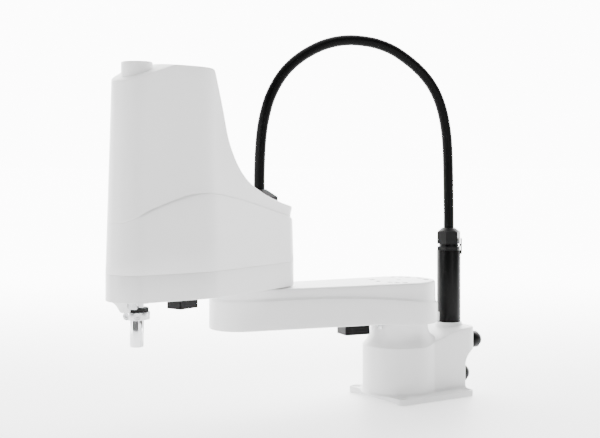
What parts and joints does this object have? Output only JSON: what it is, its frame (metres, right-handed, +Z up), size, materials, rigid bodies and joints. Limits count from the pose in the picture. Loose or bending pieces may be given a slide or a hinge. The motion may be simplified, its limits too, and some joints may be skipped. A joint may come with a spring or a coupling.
{
  "type": "SCARA robot arm",
  "caption": "Two-link SCARA robot arm on a bolted base, with a vertical tool shaft that slides and turns and an arched cable hose.",
  "frame": {"origin": "first axis, on the underside of the base plate", "axes": "+X is the middle of the arm's reach, away from the hose post; +Z up along the first axis; +Y completes a right-handed frame"},
  "size_m": [0.5423, 0.152, 0.473],
  "materials": {
    "white_paint": "satin white paint on cast aluminium",
    "white_cover": "satin white moulded cover",
    "black_plastic": "satin black",
    "hose": "smooth satin black conduit",
    "rubber": "matt",
    "shaft_steel": "ground and plated",
    "steel": "machined",
    "aluminium": "machined",
    "black_metal": "satin black, painted or blackened steel"
  },
  "bodies": {
    "base": {"base_casting": "white_paint", "rear_connector_upper": "black_plastic", "rear_connector_lower": "black_plastic", "j1_motor": "black_metal", "j1_reducer": "steel", "post_tube": "black_plastic", "post_flange": "black_plastic", "gland_nut": "black_plastic", "gland_seal": "rubber", "post_lock_tab": "black_plastic", "hose_base_half": "hose"},
    "arm1": {"arm1_casting": "white_paint", "j1_output_flange": "steel", "arm1_flange_screws": "black_metal", "j1_stop_block": "white_paint", "arm1_stop_bolt": "steel", "arm1_under_cover": "black_plastic", "j2_reducer": "steel"},
    "arm2": {"arm2_casting": "white_paint", "arm2_lower_cover": "white_cover", "arm2_upper_cover": "white_cover", "shaft_cap": "white_cover", "arm2_under_cover": "black_plastic", "hose_boot": "black_plastic", "hose_arm_half": "hose", "j2_output_flange": "steel", "j2_motor": "black_metal", "z_motor": "black_metal", "r_motor": "black_metal", "motor_plate": "aluminium", "nut_plate": "aluminium", "nut_plate_posts": "aluminium", "spline_bearing": "steel", "nut_bearing": "steel", "z_belt": "rubber", "r_belt": "rubber", "nose_keeper_plate": "steel", "nose_keeper_screws": "steel"},
    "spline_nut": {"spline_nut_pulley": "steel"},
    "shaft": {"spline_shaft": "shaft_steel", "shaft_top_ring": "steel", "clamp_collar": "steel", "collar_screws": "steel", "stop_damper": "rubber"},
    "ball_nut": {"ball_nut_pulley": "steel"},
    "z_pulley": {"z_motor_pulley": "aluminium"},
    "r_pulley": {"r_motor_pulley": "aluminium"}
  },
  "joints": [
    {"name": "j1_turn", "type": "hinge", "parent": "base", "child": "arm1", "pos_m": [0, 0, 0.1], "axis": [0, 0, 1], "range_deg": [-121.5, 138.5], "deforming": ["hose_base_half"]},
    {"name": "j2_turn", "type": "hinge", "parent": "arm1", "child": "arm2", "pos_m": [0.22253, -0.03326, 0.152], "axis": [0, 0, 1], "range_deg": [-167.4, 112.6], "deforming": ["hose_arm_half"]},
    {"name": "r_turn", "type": "hinge", "parent": "arm2", "child": "spline_nut", "pos_m": [0.38809, 0.02343, 0.19], "axis": [0, 0, 1], "range_deg": [-360, 360]},
    {"name": "z_slide", "type": "slide", "parent": "spline_nut", "child": "shaft", "axis": [0, 0, 1], "range_m": [-0.15, 0]},
    {"name": "ball_nut_spin", "type": "hinge", "parent": "arm2", "child": "ball_nut", "pos_m": [0.38809, 0.02343, 0.23], "axis": [0, 0, 1], "range_deg": [-3400, 20]},
    {"name": "z_pulley_spin", "type": "hinge", "parent": "arm2", "child": "z_pulley", "pos_m": [0.29517, 0.01698, 0.24], "axis": [0, 0, 1], "range_deg": [-6800, 40]},
    {"name": "r_pulley_spin", "type": "hinge", "parent": "arm2", "child": "r_pulley", "pos_m": [0.31072, -0.02843, 0.19], "axis": [0, 0, 1], "range_deg": [-800, 800]}
  ],
  "couplings": [
    {"joint": "ball_nut_spin", "follows": "z_slide", "rad_per_m": 392.7},
    {"joint": "z_pulley_spin", "follows": "z_slide", "rad_per_m": 785.4},
    {"joint": "r_pulley_spin", "follows": "r_turn", "ratio": 2.1667}
  ]
}
